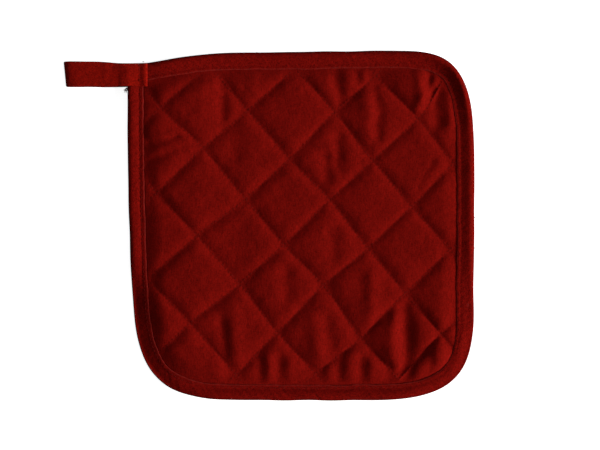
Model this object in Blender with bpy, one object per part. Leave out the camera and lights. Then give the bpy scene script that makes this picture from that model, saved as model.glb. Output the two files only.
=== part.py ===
"""Quilted pot holder with a bound edge and a hanging loop.

A square pad of cotton cloth over filling is sewn in diamonds. A folded tape binds its edge all round. A short
strip of wider tape is doubled over the top left corner and makes the loop that the pot holder hangs by.

The pot holder lies flat with its quilted face up: +X is to the right, +Y is towards the top edge, and Z is
the height above the surface that it lies on. The tables are in millimetres from the middle of the pad. The
last step moves the origin to the middle of the whole outline, on that surface.
"""

import math
from collections import namedtuple

import bmesh
import bpy
from mathutils import Matrix, Vector, geometry

MM = 0.001
CLEARANCE = 0.35
TAPE_THICKNESS = 1.0

# Outline. Each row is a point of the outer edge, counter-clockwise from the square corner under the loop. The
# edge arrives at it and leaves it at the headings given, in degrees from +X, and the two reaches say how far
# it keeps to them. The last column is the number of straight facets from this point to the next.
EdgePoint = namedtuple("EdgePoint", "place x y arrives leaves reach_before reach_after facets")
EDGE = (
    EdgePoint("loop corner", -99.9, 94.1, 180, 270, 9, 12, 1),
    EdgePoint("left, under the loop", -100.1, 80.0, 270, 270, 4, 40, 7),
    EdgePoint("left, low down", -97.3, -43.0, 273.5, 273.5, 40, 38.5, 9),
    EdgePoint("bottom, left part", -45.0, -99.4, 358.6, 358.6, 38.8, 30, 5),
    EdgePoint("bottom, right part", 48.0, -99.6, 1, 1, 30, 42.3, 9),
    EdgePoint("right, low down", 99.4, -52.0, 90, 90, 28.2, 28, 5),
    EdgePoint("right, high up", 99.7, 42.0, 90.5, 90.5, 28, 56.5, 9),
    EdgePoint("top, highest place", 51.4, 101.85, 179, 181, 33.5, 14, 6),
    EdgePoint("top, left part", -40.0, 100.55, 180.5, 181, 48, 16, 4),
    EdgePoint("top, beside the loop", -88.5, 94.6, 190, 183, 20, 4, 1),
)

# Binding. The middle line of the folded tape, seen along the edge: how far in from the outer edge, and how
# high.
TapePoint = namedtuple("TapePoint", "place inset height")
TAPE_LINE = (
    TapePoint("upper hem", 9.4, 3.75),
    TapePoint("lip", 8.6, 3.9),
    TapePoint("stitched valley", 7.3, 3.6),
    TapePoint("inner slope", 5.4, 4.15),
    TapePoint("top of the roll", 3.0, 4.7),
    TapePoint("shoulder of the roll", 1.3, 4.1),
    TapePoint("outer edge", 0.5, 2.6),
    TapePoint("foot of the roll", 1.1, 1.15),
    TapePoint("start of the underside", 2.4, 0.5),
    TapePoint("lower hem", 9.4, 0.5),
)
HEM_ROUNDING = 0.15
PAD_JOIN = TAPE_LINE[0].inset + HEM_ROUNDING + CLEARANCE

# Quilting. Two families of sewn lines cross at the steps given from one crossing near the middle of the pad.
QUILT_CROSSING = Vector((-10.7, -9.2))
RISING_PITCH = 35.1
RISING_HEADING = 42.5
FALLING_PITCH = 34.6
FALLING_HEADING = -49.1
CELLS_ACROSS = 5
DRIFT_PASSES = 5

# Crossings that the sewing missed: which crossing, counted along both families, and how far it lies from its
# place.
Drift = namedtuple("Drift", "rising falling dx dy")
DRIFTS = (
    Drift(-3, 0, -0.7, 0.8),
    Drift(-2, -1, -3.2, 0.8),
    Drift(-2, 0, -1.5, 1.6),
    Drift(-2, 1, 2.4, -2.1),
    Drift(-1, -2, -1.4, 0.2),
    Drift(-1, -1, -0.7, 1.8),
    Drift(-1, 0, 1.1, 0.3),
    Drift(-1, 1, 0.0, -1.6),
    Drift(-1, 2, -0.5, 0.9),
    Drift(0, -3, -2.2, -0.6),
    Drift(0, -2, -0.5, 2.4),
    Drift(0, -1, 1.2, -0.9),
    Drift(0, 0, 0.7, -1.1),
    Drift(0, 1, 0.7, 2.0),
    Drift(0, 2, -0.5, -2.3),
    Drift(0, 3, -1.3, 0.0),
    Drift(1, -2, -0.8, 0.1),
    Drift(1, -1, 0.8, -1.3),
    Drift(1, 0, 1.2, 1.2),
    Drift(1, 1, 0.5, -0.5),
    Drift(1, 2, -0.7, -0.2),
    Drift(1, 3, -2.9, 2.4),
    Drift(2, -2, 0.7, 0.7),
    Drift(2, -1, 0.6, 1.8),
    Drift(2, 1, -0.4, -0.3),
    Drift(2, 2, -0.6, 1.2),
    Drift(3, -1, -1.4, -0.9),
    Drift(3, 1, -1.9, 0.8),
    Drift(3, 0, 0.3, 0.3),
    Drift(4, 0, -6.0, 5.0),
)

# Pad heights above the surface, and the widths over which a diamond rounds down to a sewn line and the whole
# pad to its binding. The pad is thinner towards its right side.
PUFF_TOP = 7.0
CHANNEL_TOP = 5.2
CHANNEL_BOTTOM = 1.7
JOIN_TOP = 3.05
JOIN_BOTTOM = 1.15
PUFF_SINK = 2.7
PUFF_ROUNDING = 3.4
SHOULDER_WIDTH = 8.5
THINNING = 1.5
THIN_REACH = 90.0

# Spacing of the pad's facets: fine beside the sewn lines, and coarse across the middle of a diamond.
CELL_FRACTIONS = (0.0, 0.06, 0.16, 0.36, 0.64, 0.84, 0.94)
SHOULDER_RINGS = (12.6, 16.0)
GROOVE_REACH = 3.7
RING_REACH = 4.2
LATTICE_START = 17.0
GROOVE_START = 11.2
LEAST_SPACING = 1.7
MERGE_DISTANCE = 1e-5

# Hanging loop. Stitches across the strip hold it down. The middle line of the doubled strip, seen from the
# front, starts at the hem that is turned under the sewn end, runs left over the corner to the fold, and comes
# back below.
LOOP_STITCHES_X = -92.5
StripPoint = namedtuple("StripPoint", "place x height")
STRIP_LINE = (
    StripPoint("turned-under end", -91.7, 6.05),
    StripPoint("turned-under hem", -89.7, 6.05),
    StripPoint("sewn end", -88.9, 6.65),
    StripPoint("ridge", -89.8, 7.3),
    StripPoint("stitched valley", LOOP_STITCHES_X, 7.18),
    StripPoint("over the binding", -96.6, 7.1),
    StripPoint("edge of the corner", -100.2, 6.95),
    StripPoint("foot of the rise", -107.4, 6.45),
    StripPoint("open stretch", -123.5, 6.2),
    StripPoint("above the fold", -131.9, 5.9),
    StripPoint("shoulder of the fold", -135.2, 4.9),
    StripPoint("fold", -136.4, 2.8),
    StripPoint("foot of the fold", -135.3, 0.95),
    StripPoint("start of the underside", -133.3, 0.5),
    StripPoint("lower end", -88.6, 0.5),
)
LOOP_TOP_EDGE = 94.7
LOOP_BOTTOM_EDGE = 80.7
LOOP_SLANT = 1.4
LOOP_FOLD_X = -137.0

# The corner under the loop stands on the strip's lower layer, and the stitches through it press it thinner.
CORNER_MIDDLE = Vector((-94.0, 88.0))
CORNER_LIFT = 1.35
LIFT_INNER = 20.0
LIFT_OUTER = 62.0
PRESSED_SHARE = 0.31
PRESSED_REACH = 10.5

# Finishes of the three cloths: linear colour and roughness.
PAD_FINISH = ((0.13, 0.0038, 0.0024), 0.9)
BINDING_FINISH = ((0.14, 0.0042, 0.0024), 0.88)
LOOP_FINISH = ((0.145, 0.0042, 0.002), 0.88)
SMOOTH_ANGLE = 50.0


def heading(degrees):
    """Unit vector at an angle from +X."""
    return Vector((math.cos(math.radians(degrees)), math.sin(math.radians(degrees))))


def smooth(share):
    """Ease from 0 to 1."""
    share = min(1.0, max(0.0, share))
    return share * share * (3.0 - 2.0 * share)


# ---------------------------------------------------------------------------------------------- outline

def edge_points():
    """Corners of the outer edge's facets, counter-clockwise."""
    points = []
    for here, there in zip(EDGE, EDGE[1:] + EDGE[:1]):
        start = Vector((here.x, here.y, 0.0))
        end = Vector((there.x, there.y, 0.0))
        leaving = start + here.reach_after * heading(here.leaves).to_3d()
        arriving = end - there.reach_before * heading(there.arrives).to_3d()
        stretch = geometry.interpolate_bezier(start, leaving, arriving, end, here.facets + 1)
        points.extend(point.to_2d() for point in stretch[:-1])
    return points


def left_of(direction):
    """A direction turned a quarter to the left."""
    return Vector((-direction.y, direction.x))


def mitred(points, closed):
    """For each point of a line, the step that moves both of its facets one unit to their left."""
    steps = []
    last = len(points) - 1
    for number, point in enumerate(points):
        before = points[number - 1] if closed or number > 0 else None
        after = points[(number + 1) % len(points)] if closed or number < last else None
        sides = []
        if before is not None:
            sides.append(left_of((point - before).normalized()))
        if after is not None:
            sides.append(left_of((after - point).normalized()))
        total = sum(sides, Vector((0.0, 0.0)))
        steps.append(total / (1.0 + sides[0].dot(sides[-1])) if len(sides) == 2 else total)
    return steps


def offset_line(points, distance):
    """An open line moved sideways, to its left where the distance is positive."""
    return [point + distance * step for point, step in zip(points, mitred(points, closed=False))]


class Outline:
    """The outer edge, and how far inside it a place lies."""

    def __init__(self):
        self.points = edge_points()
        self.steps = mitred(self.points, closed=True)

    def ring(self, inset):
        """The edge's points moved inwards."""
        return [point + inset * step for point, step in zip(self.points, self.steps)]

    def inset(self, place):
        """Distance of a place from the edge, positive inside it."""
        nearest = math.inf
        for start, end in zip(self.points, self.points[1:] + self.points[:1]):
            along = end - start
            share = min(1.0, max(0.0, (place - start).dot(along) / along.length_squared))
            gap = place - (start + share * along)
            side = left_of(along).dot(place - start)
            distance = gap.length if side >= 0.0 else -gap.length
            if abs(distance) < abs(nearest):
                nearest = distance
        return nearest


# ---------------------------------------------------------------------------------------------- quilting

RISING = RISING_PITCH * heading(RISING_HEADING)
FALLING = FALLING_PITCH * heading(FALLING_HEADING)
TO_CELLS = Matrix(((RISING.x, FALLING.x), (RISING.y, FALLING.y))).inverted()
DRIFT_AT = {(drift.rising, drift.falling): Vector((drift.dx, drift.dy)) for drift in DRIFTS}


def drift(rising, falling):
    """How far the sewing strayed, eased from crossing to crossing."""
    column = math.floor(rising)
    row = math.floor(falling)
    across = smooth(rising - column)
    down = smooth(falling - row)
    shares = ((0, 0, (1 - across) * (1 - down)), (1, 0, across * (1 - down)),
              (0, 1, (1 - across) * down), (1, 1, across * down))
    total = Vector((0.0, 0.0))
    for right, below, share in shares:
        total += share * DRIFT_AT.get((column + right, row + below), Vector((0.0, 0.0)))
    return total


def place_in_quilt(rising, falling):
    """The place at a position that is given in cells along both families."""
    return QUILT_CROSSING + rising * RISING + falling * FALLING + drift(rising, falling)


def cells_at(place):
    """Where a place lies in the quilting, in cells along both families."""
    cells = Vector((0.0, 0.0))
    for _ in range(DRIFT_PASSES):
        cells = TO_CELLS @ (place - QUILT_CROSSING - drift(cells.x, cells.y))
    return cells


def line_distances(place):
    """Distances from a place to the nearest sewn line of each family."""
    cells = cells_at(place)
    squareness = math.sin(math.radians(RISING_HEADING - FALLING_HEADING))
    return (abs(cells.x - round(cells.x)) * RISING_PITCH * squareness,
            abs(cells.y - round(cells.y)) * FALLING_PITCH * squareness)


def puff(place):
    """Fullness of the filling: 0 on a sewn line, 1 in the middle of a diamond."""
    fullness = 1.0
    for distance in line_distances(place):
        fullness *= 1.0 - math.exp(-distance / PUFF_ROUNDING)
    return fullness


def shoulder(inset):
    """Rise from the binding's hem, 0, to the full height of the pad, 1."""
    share = min(1.0, max(0.0, (inset - PAD_JOIN) / SHOULDER_WIDTH))
    return math.sin(share * math.pi / 2)


def top_height(place, inset):
    """Height of the quilted face."""
    rise = shoulder(inset)
    height = CHANNEL_TOP + (PUFF_TOP - CHANNEL_TOP) * puff(place) - THINNING * smooth(place.x / THIN_REACH)
    return JOIN_TOP + rise * (height - JOIN_TOP)


def bottom_height(place, inset):
    """Height of the back. A full diamond lies flat on the surface."""
    rise = shoulder(inset)
    return max(0.0, JOIN_BOTTOM + rise * (CHANNEL_BOTTOM - JOIN_BOTTOM - PUFF_SINK * puff(place)))


# ---------------------------------------------------------------------------------------------- corner

def corner_lift(place):
    """How far the strip's lower layer lifts a place."""
    away = (place - CORNER_MIDDLE).length
    return CORNER_LIFT * (1.0 - smooth((away - LIFT_INNER) / (LIFT_OUTER - LIFT_INNER)))


def pressed(place):
    """Share of the height that is left beside the stitches of the loop."""
    nearest_y = min(LOOP_TOP_EDGE, max(LOOP_BOTTOM_EDGE, place.y))
    away = (place - Vector((LOOP_STITCHES_X, nearest_y))).length
    return 1.0 - PRESSED_SHARE * math.exp(-(away / PRESSED_REACH) ** 2)


def settled(place, height):
    """A point of the pad or the binding as it lies, in metres."""
    lying = corner_lift(place) + height * pressed(place)
    return Vector((place.x, place.y, lying)) * MM


# ---------------------------------------------------------------------------------------------- meshes

def bridge(mesh, first, second, closed=True):
    """Two rows of points of the same length, joined by facets."""
    count = len(first)
    for number in range(count if closed else count - 1):
        after = (number + 1) % count
        mesh.faces.new((first[number], first[after], second[after], second[number]))


def cloth_material(name, color, roughness):
    """A matt cloth."""
    material = bpy.data.materials.new(name)
    material.use_nodes = True
    shader = material.node_tree.nodes["Principled BSDF"]
    shader.inputs["Base Color"].default_value = (*color, 1.0)
    shader.inputs["Roughness"].default_value = roughness
    shader.inputs["Metallic"].default_value = 0.0
    material.diffuse_color = (*color, 1.0)
    return material


def cloth_object(name, mesh, material):
    """A finished sub-part: its facets face out, and its mesh is shaded smooth."""
    bmesh.ops.triangulate(mesh, faces=mesh.faces[:])
    bmesh.ops.recalc_face_normals(mesh, faces=mesh.faces[:])
    data = bpy.data.meshes.new(name)
    mesh.to_mesh(data)
    mesh.free()
    data.materials.append(material)
    data.shade_smooth()
    data.set_sharp_from_angle(angle=math.radians(SMOOTH_ANGLE))
    piece = bpy.data.objects.new(name, data)
    bpy.context.scene.collection.objects.link(piece)
    return piece


# ---------------------------------------------------------------------------------------------- pad

def inner_places(outline):
    """Facet corners inside the binding: along the sewn lines, then the shoulder, kept a little apart."""
    steps = [whole + part for whole in range(-CELLS_ACROSS, CELLS_ACROSS) for part in CELL_FRACTIONS]
    candidates = []
    for rising in steps:
        for falling in steps:
            place = place_in_quilt(rising, falling)
            inset = outline.inset(place)
            in_groove = min(line_distances(place)) < GROOVE_REACH
            if inset > LATTICE_START or (in_groove and inset > GROOVE_START):
                candidates.append(place)
    for inset in SHOULDER_RINGS:
        ring = outline.ring(inset)
        for here, there in zip(ring, ring[1:] + ring[:1]):
            for place in (here, here.lerp(there, 0.5)):
                if min(line_distances(place)) > RING_REACH:
                    candidates.append(place)
    kept = []
    for place in candidates:
        if all((place - other).length > LEAST_SPACING for other in kept):
            kept.append(place)
    return kept


def pad_triangles(ring, places):
    """Triangles that fill the ring through the places, as numbers into ring and places together."""
    count = len(ring)
    inside_only = 1
    found = geometry.delaunay_2d_cdt(ring + places, [], [list(range(count))], inside_only, MERGE_DISTANCE)
    corners, triangles, came_from = found[0], found[2], found[3]
    if len(corners) != count + len(places):
        raise RuntimeError("the pad's facet corners are too close together")
    numbers = [sources[0] for sources in came_from]
    return [[numbers[corner] for corner in triangle] for triangle in triangles]


def build_pad(outline, material):
    """The filled pad: its rim fits inside the folded tape, and both faces are quilted."""
    mesh = bmesh.new()
    tape = [Vector((point.inset, point.height)) for point in TAPE_LINE]
    tongue = offset_line(tape, TAPE_THICKNESS / 2 + CLEARANCE)
    profile = [Vector((PAD_JOIN, JOIN_TOP))] + tongue + [Vector((PAD_JOIN, JOIN_BOTTOM))]
    rows = []
    for inset, height in profile:
        rows.append([mesh.verts.new(settled(place, height)) for place in outline.ring(inset)])
    for above, below in zip(rows, rows[1:]):
        bridge(mesh, above, below)
    places = inner_places(outline)
    top = list(rows[0])
    bottom = list(rows[-1])
    for place in places:
        inset = outline.inset(place)
        top.append(mesh.verts.new(settled(place, top_height(place, inset))))
        bottom.append(mesh.verts.new(settled(place, bottom_height(place, inset))))
    for triangle in pad_triangles(outline.ring(PAD_JOIN), places):
        mesh.faces.new([top[corner] for corner in triangle])
        mesh.faces.new([bottom[corner] for corner in reversed(triangle)])
    return cloth_object("quilted_pad", mesh, material)


# ---------------------------------------------------------------------------------------------- tapes

def tape_section(line, thickness):
    """Closed section of a tape of the given thickness along its middle line."""
    return offset_line(line, -thickness / 2), offset_line(line, thickness / 2)


def build_binding(outline, material):
    """The edge tape: its folded section is carried round the whole edge."""
    mesh = bmesh.new()
    line = [Vector((point.inset, point.height)) for point in TAPE_LINE]
    outer, inner = tape_section(line, TAPE_THICKNESS)
    rows = []
    for inset, height in outer + inner[::-1]:
        rows.append([mesh.verts.new(settled(place, height)) for place in outline.ring(inset)])
    for row, following in zip(rows, rows[1:] + rows[:1]):
        bridge(mesh, row, following)
    return cloth_object("edge_binding", mesh, material)


def build_loop(material):
    """The hanging loop: one strip of tape, doubled round the corner, its left end cut a little aslant."""
    mesh = bmesh.new()
    line = [Vector((point.x, point.height)) for point in STRIP_LINE]
    outer, inner = tape_section(line, TAPE_THICKNESS)
    edge_x = EDGE[0].x
    sides = []
    for y, slant in ((LOOP_TOP_EDGE, 0.0), (LOOP_BOTTOM_EDGE, LOOP_SLANT)):
        row = []
        for x, height in outer + inner[::-1]:
            share = max(0.0, (edge_x - x) / (edge_x - LOOP_FOLD_X))
            row.append(mesh.verts.new(Vector((x + slant * share, y, height)) * MM))
        sides.append(row)
    bridge(mesh, sides[0], sides[1])
    count = len(line)
    for row in sides:
        for number in range(count - 1):
            opposite = 2 * count - 1 - number
            mesh.faces.new((row[number], row[number + 1], row[opposite - 1], row[opposite]))
    return cloth_object("hanging_loop", mesh, material)


# ---------------------------------------------------------------------------------------------- whole object

def middle_of(pieces):
    """Middle of the pieces' common box, seen from above."""
    corners = [vertex.co for piece in pieces for vertex in piece.data.vertices]
    low = [min(corner[axis] for corner in corners) for axis in range(2)]
    high = [max(corner[axis] for corner in corners) for axis in range(2)]
    return Vector(((low[0] + high[0]) / 2, (low[1] + high[1]) / 2, 0.0))


def main():
    """Make the three sub-parts and set them under one empty, whose place moves the origin."""
    for old in list(bpy.data.objects):
        bpy.data.objects.remove(old)
    outline = Outline()
    pieces = (
        build_pad(outline, cloth_material("pad cloth", *PAD_FINISH)),
        build_binding(outline, cloth_material("binding tape", *BINDING_FINISH)),
        build_loop(cloth_material("loop tape", *LOOP_FINISH)),
    )
    holder = bpy.data.objects.new("pot_holder", None)
    bpy.context.scene.collection.objects.link(holder)
    holder.location = -middle_of(pieces)
    for piece in pieces:
        piece.parent = holder


main()
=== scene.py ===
"""Looks of a quilted pot holder: cloth, bound edge, hanging loop, stitches, loose threads and the studio.

Places in the tables are millimetres from the middle of the pad, and heights are above the surface that it
lies on, as in the part itself. Pieces are shaped in those millimetres and then placed in the frame.
"""

import math
from collections import namedtuple

import bmesh
import bpy
import numpy as np
from bpy.props import FloatProperty, FloatVectorProperty, IntProperty, PointerProperty
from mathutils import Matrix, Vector, geometry


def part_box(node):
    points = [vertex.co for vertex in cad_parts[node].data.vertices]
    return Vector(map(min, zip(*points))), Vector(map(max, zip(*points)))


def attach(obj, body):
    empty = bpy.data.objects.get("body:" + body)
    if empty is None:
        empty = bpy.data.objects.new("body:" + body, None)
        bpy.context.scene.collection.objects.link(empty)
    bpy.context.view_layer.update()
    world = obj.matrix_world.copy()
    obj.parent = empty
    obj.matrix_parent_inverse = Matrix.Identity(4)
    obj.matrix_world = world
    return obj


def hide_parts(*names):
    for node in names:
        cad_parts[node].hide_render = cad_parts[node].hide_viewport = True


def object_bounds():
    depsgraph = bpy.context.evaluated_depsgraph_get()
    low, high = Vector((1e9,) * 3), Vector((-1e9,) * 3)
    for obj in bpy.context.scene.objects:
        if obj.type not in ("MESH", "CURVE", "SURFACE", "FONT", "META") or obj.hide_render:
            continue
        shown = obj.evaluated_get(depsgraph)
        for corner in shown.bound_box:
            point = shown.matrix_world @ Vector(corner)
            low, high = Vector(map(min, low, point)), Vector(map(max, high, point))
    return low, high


bl_info = {
    "name": "Quilted pot holder",
    "version": (1, 0, 0),
    "blender": (4, 5, 0),
    "location": "3D View > Sidebar > Pot holder",
    "description": "Makes the cloth, tapes, stitches and studio of a quilted pot holder",
    "category": "Add Mesh",
}

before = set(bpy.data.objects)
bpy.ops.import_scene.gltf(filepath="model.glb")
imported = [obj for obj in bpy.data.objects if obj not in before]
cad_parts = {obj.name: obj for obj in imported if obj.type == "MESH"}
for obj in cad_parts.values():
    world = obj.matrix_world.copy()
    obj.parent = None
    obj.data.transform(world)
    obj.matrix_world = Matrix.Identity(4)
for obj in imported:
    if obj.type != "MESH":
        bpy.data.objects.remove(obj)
CAD_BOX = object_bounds()
BINDING_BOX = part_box("edge_binding")
MM = 0.001

# ---------------------------------------- tables

def table(columns, *rows):
    """Rows whose values go by the names of their columns."""
    row_kind = namedtuple("Row", columns)
    return [row_kind(*row) for row in rows]


# Outline. Each row is a point of the outer edge, counter-clockwise from the square corner under the loop,
# with the headings in degrees at which the edge arrives there and leaves, and how far it keeps to them.
EDGE = table(
    "place x y arrives leaves reach_before reach_after",
    ("loop corner", -99.9, 94.1, 180, 270, 9, 12),
    ("left, under the loop", -100.1, 80.0, 270, 270, 4, 40),
    ("left, low down", -97.3, -43.0, 273.5, 273.5, 40, 38.5),
    ("bottom, left part", -45.0, -99.4, 358.6, 358.6, 38.8, 30),
    ("bottom, right part", 48.0, -99.6, 1, 1, 30, 42.3),
    ("right, low down", 99.4, -52.0, 90, 90, 28.2, 28),
    ("right, high up", 99.7, 42.0, 90.5, 90.5, 28, 56.5),
    ("top, highest place", 51.4, 101.85, 179, 181, 33.5, 14),
    ("top, left part", -40.0, 100.55, 180.5, 181, 48, 16),
    ("top, beside the loop", -88.5, 94.6, 190, 183, 20, 4),
)

# Binding. The middle line of the folded tape: how far in from the outer edge, and how high.
TAPE_LINE = table(
    "place inset height",
    ("upper hem", 9.2, 3.7),
    ("lip", 8.6, 3.85),
    ("stitched valley", 7.4, 3.6),
    ("inner slope", 5.9, 4.0),
    ("back of the roll", 4.2, 4.5),
    ("top of the roll", 2.6, 4.7),
    ("shoulder of the roll", 1.3, 4.15),
    ("outer edge", 0.5, 2.6),
    ("foot of the roll", 1.1, 1.15),
    ("start of the underside", 2.6, 0.5),
    ("middle of the underside", 6.0, 0.5),
    ("lower hem", 9.7, 0.5),
)

# How the binding differs from side to side: the way that the side faces, and how much further in its hem is.
TAPE_SIDES = table(
    "place faces hem",
    ("right", 0, 0.4),
    ("top", 90, 0.5),
    ("left", 180, -0.3),
    ("bottom", 270, -0.5),
)

# Where the binding stands higher or lower: how far round that goes, how much higher the roll is and how far
# across the tape its middle lies, and how much higher the valley is.
TAPE_SPOTS = table(
    "place x y reach roll roll_across valley",
    ("top right corner, standing up", 88, 86, 22, 1.7, 3.7, -0.35),
    ("right side", 99, 10, 45, 0.2, 4.8, 0.15),
    ("right side, low part", 99, -44, 25, -0.95, 4.4, 0.15),
    ("bottom side", 10, -99, 45, 0.1, 4.8, -0.4),
    ("left side", -99, 28, 52, -0.45, 4.6, -0.25),
    ("top side", 0, 99, 50, 0.0, 4.8, 0.1),
)

# Where the roll is pressed to an even slope: how far round that goes and how fully, the slope's height at the
# edge, how steep it is there and how it bends.
PRESSED_SPOTS = table(
    "place x y reach share edge slope bend",
    ("bottom left corner", -93, -66, 38, 1.0, 0.8, 0.365, 0.0),
    ("bottom right corner", 90, -84, 26, 0.85, 1.2, 0.74, 0.052),
)

# Hanging loop. The middle line of the doubled strip, seen from the front, from its turned-under end to its
# lower end.
STRIP_LINE = table(
    "place x height",
    ("turned-under end", -91.9, 5.75),
    ("turned-under hem", -90.2, 5.75),
    ("sewn end", -88.8, 6.1),
    ("ridge", -89.9, 6.45),
    ("slope into the stitches", -91.6, 6.25),
    ("stitched valley", -93.0, 6.05),
    ("over the binding", -95.6, 6.5),
    ("edge of the corner", -99.6, 7.0),
    ("rise to the corner", -103.0, 6.85),
    ("foot of the rise", -107.0, 6.5),
    ("open stretch, right", -112.5, 6.25),
    ("open stretch, left", -126.5, 6.15),
    ("above the fold", -132.4, 5.95),
    ("shoulder of the fold", -135.4, 5.1),
    ("fold", -136.4, 2.9),
    ("foot of the fold", -135.3, 0.9),
    ("start of the underside", -133.2, 0.5),
    ("middle of the underside", -111.0, 0.5),
    ("lower end", -88.6, 0.5),
)

# Crossings that the sewing missed, in the order of the rising lines: which crossing, counted along both
# families of lines, and how far it strayed.
DRIFTS = table(
    "rising falling dx dy",
    (-3, 0, -0.7, 0.8),
    (-2, -1, -3.2, 0.8), (-2, 0, -1.5, 1.6), (-2, 1, 2.4, -2.1),
    (-1, -2, -1.4, 0.2), (-1, -1, -0.7, 1.8), (-1, 0, 1.1, 0.3), (-1, 1, 0.0, -1.6), (-1, 2, -0.5, 0.9),
    (0, -3, -2.2, -0.6), (0, -2, -0.5, 2.4), (0, -1, 1.2, -0.9), (0, 0, 0.7, -1.1),
    (0, 1, 0.7, 2.0), (0, 2, -0.5, -2.3), (0, 3, -1.3, 0.0),
    (1, -2, -0.8, 0.1), (1, -1, 0.8, -1.3), (1, 0, 1.2, 1.2),
    (1, 1, 0.5, -0.5), (1, 2, -0.7, -0.2), (1, 3, -2.9, 2.4),
    (2, -2, 0.7, 0.7), (2, -1, 0.6, 1.8), (2, 1, -0.4, -0.3), (2, 2, -0.6, 1.2),
    (3, -1, -1.4, -0.9), (3, 0, 0.3, 0.3), (3, 1, -1.9, 0.8),
    (4, 0, -6.0, 5.0),
)

# Creases of the face cloth: ridges rise above it and troughs, with a negative rise, sink into it.
CREASES = table(
    "place rise width route",
    ("top left diamond, trough", -1.3, 2.6, ((-45.2, 80), (-45.4, 63))),
    ("top left diamond, faint ridge", 0.36, 2.6, ((-57, 76), (-57, 66))),
    ("top edge, left of the middle", 0.4, 2.6, ((-27.7, 90), (-27.7, 78))),
    ("top edge, long trough", -1.3, 2.5, ((19.5, 92), (20.5, 82), (22.5, 73))),
    ("top edge, ridge", 0.4, 2.6, ((26.9, 90), (27.5, 80))),
    ("top edge, short trough", -0.64, 1.9, ((32.4, 92), (32.4, 84))),
    ("top edge, short ridge", 0.4, 1.9, ((35.8, 92), (35.8, 85))),
    ("second diamond from the right, bent trough", -1.45, 2.6,
     ((41.5, 80), (44.4, 66), (43.2, 58), (43.5, 53))),
    ("second diamond from the right, ramp", 1.1, 4.6, ((39.3, 73), (39.3, 57))),
    ("top right corner, left ridge", 1.4, 2.4, ((67.2, 91), (68.9, 74))),
    ("top right corner, ramp", 1.0, 6.0, ((60, 89), (62, 78))),
    ("top right corner, trough", -1.5, 1.8, ((74.0, 90), (73.2, 80))),
    ("top right corner, right ridge", 0.8, 1.7, ((77.2, 85), (70.4, 75), (64.5, 65))),
    ("right edge, high trough", -2.0, 3.5, ((77.9, 77), (78.4, 60))),
    ("right edge, high ridge", 0.9, 1.9, ((85.6, 75), (86.6, 60))),
    ("right diamond, slanting crease", -0.36, 1.5, ((77.5, 41), (71, 30), (65.5, 20))),
    ("upper middle diamond, left trough", -1.05, 2.7, ((14.0, 40), (14.6, 28))),
    ("upper middle diamond, ridge", 0.4, 2.0, ((17.3, 45), (17.9, 33))),
    ("upper middle diamond, right trough", -1.35, 3.1, ((21.2, 52), (20.6, 36))),
    ("upper left diamond, soft hollow", -0.64, 4.2, ((-38, 52), (-38, 40))),
    ("left edge, soft ridge", 0.4, 3.6, ((-76, 47), (-76, 37))),
    ("left edge, bright spot", 0.9, 2.4, ((-88.5, 57), (-88.5, 54))),
    ("left edge, upper crease", -0.9, 1.7, ((-90, 48), (-80, 48.6), (-72, 52))),
    ("left edge, lower crease", -0.7, 1.9, ((-90, 38), (-81, 40.5), (-75, 43))),
    ("left middle diamond, wide hollow", -0.8, 8.0, ((-37, 0), (-37, -17))),
    ("middle diamond, trough", -0.72, 3.2, ((18.2, -2), (18.2, -16))),
    ("lower left diamond, trough", -0.72, 2.9, ((-8.7, -24), (-8.7, -41))),
    ("lower right diamond, ridge", 1.3, 3.2, ((40.4, -29), (40.2, -48))),
    ("lower right diamond, trough beside the line", -0.9, 2.3, ((49.5, -49), (49.5, -52))),
    ("bottom left diamond, trough", -1.05, 2.3, ((-45.6, -54), (-44.8, -62), (-43.6, -72))),
    ("bottom left diamond, ridge", 0.72, 3.2, ((-38.7, -48), (-37.6, -73))),
    ("bottom middle diamond, ridge", 0.88, 3.3, ((7, -54), (9.8, -72))),
    ("bottom middle diamond, trough", -0.88, 3.2, ((15, -53), (16.2, -70))),
    ("bottom right diamond, deep trough", -2.9, 3.7,
     ((59.6, -47), (60.3, -64), (60.2, -76), (60.4, -83), (59.2, -91))),
    ("bottom right diamond, broad ridge", 1.2, 3.4, ((53.5, -53), (52.2, -64), (54.5, -76))),
    ("bottom right diamond, ramp", 1.1, 8.0, ((50, -57), (51, -72))),
    ("bottom right diamond, right ramp", 1.0, 6.0, ((77, -58), (77, -66))),
    ("right of the bottom right diamond, slope", 0.8, 5.0, ((79, -38), (79, -50))),
    ("bottom edge, sixth trough", -1.0, 2.2, ((50, -81), (50, -91))),
    ("bottom edge, first trough", -0.88, 2.3, ((-23.7, -77), (-23.7, -91))),
    ("bottom edge, first ridge", 0.8, 2.4, ((-18.5, -75), (-18.5, -91))),
    ("bottom edge, second trough", -0.88, 2.6, ((-12.7, -75), (-12.7, -91))),
    ("bottom edge, second ridge", 0.56, 2.6, ((-6.9, -80), (-6.9, -91))),
    ("bottom edge, third ridge", 0.72, 3.0, ((15.6, -81), (15.6, -91))),
    ("bottom edge, third trough", -0.96, 2.7, ((21.7, -78), (21.7, -91))),
    ("bottom edge, fourth ridge", 0.8, 3.2, ((28, -74), (28, -91))),
    ("bottom edge, fourth trough", -0.96, 2.6, ((34.7, -76), (34.7, -91))),
    ("bottom edge, fifth ridge", 0.72, 2.6, ((40.2, -80), (40.2, -91))),
    ("bottom right corner, low ramp", 1.5, 4.8, ((66.8, -82), (66.2, -91))),
    ("bottom right corner, high ramp", 2.9, 5.6, ((81.5, -76), (80.5, -84))),
    ("bottom right corner, trough", -0.7, 2.4, ((74.3, -77), (75.3, -87))),
    ("bottom left corner, soft ridge", 0.7, 4.0, ((-47, -77), (-47, -88))),
    ("bottom edge, trough beside the corner", -0.6, 3.0, ((-41.5, -80), (-41.5, -91))),
)

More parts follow.
